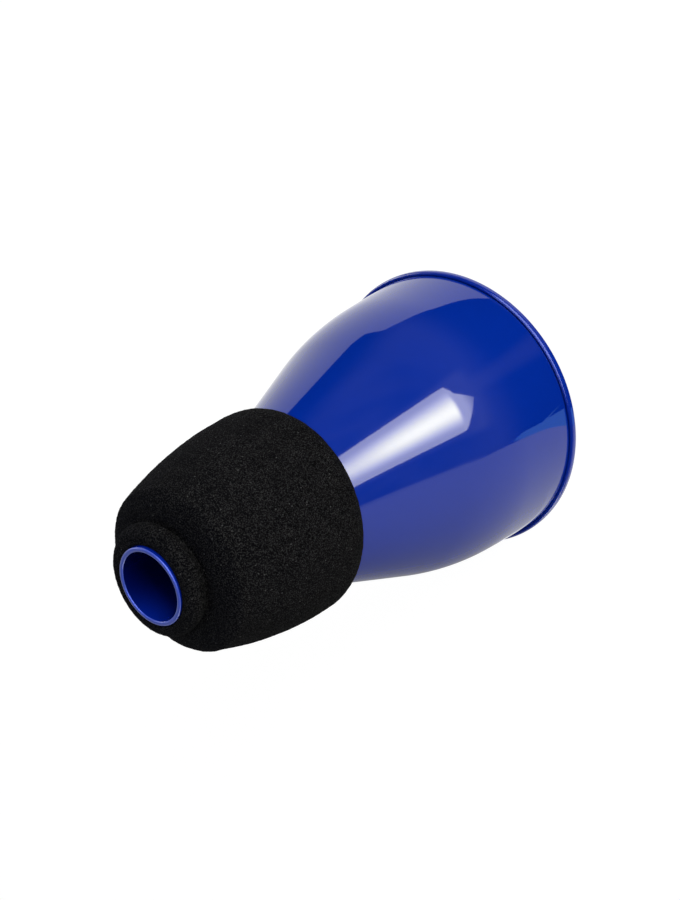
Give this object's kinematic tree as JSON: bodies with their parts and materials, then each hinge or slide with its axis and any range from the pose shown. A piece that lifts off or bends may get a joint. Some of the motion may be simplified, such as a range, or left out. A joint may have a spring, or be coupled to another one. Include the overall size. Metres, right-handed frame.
{
  "type": "trombone practice mute",
  "caption": "Practice mute for a trombone: a moulded conical plastic shell with a flanged end cap, an open throat tube and a bulb-shaped foam collar that seals the bell.",
  "frame": {"origin": "centre of the flat rest face under the end cap, with the mute standing on its wide end", "axes": "+Z along the axis of symmetry, from the wide end towards the mouth of the throat tube; the mute is the same all round, so +X is free"},
  "size_m": [0.124, 0.124, 0.183],
  "materials": {
    "shell_plastic": "high gloss deep blue moulded plastic",
    "cap_plastic": "gloss deep blue moulded plastic with a finely textured recess",
    "throat_plastic": "semi-gloss deep blue extruded plastic",
    "vent_plastic": "satin black plastic",
    "collar_foam": "matt black closed-cell foam with a fine open grain",
    "nose_foam": "matt black closed-cell foam with a fine open grain",
    "pad_foam": "dark grey open-cell foam"
  },
  "bodies": {
    "root": {"body_shell": "shell_plastic", "end_cap": "cap_plastic", "throat_tube": "throat_plastic", "vent_tube": "vent_plastic", "foam_collar": "collar_foam", "foam_nose_ring": "nose_foam", "damping_pad": "pad_foam"}
  },
  "joints": []
}
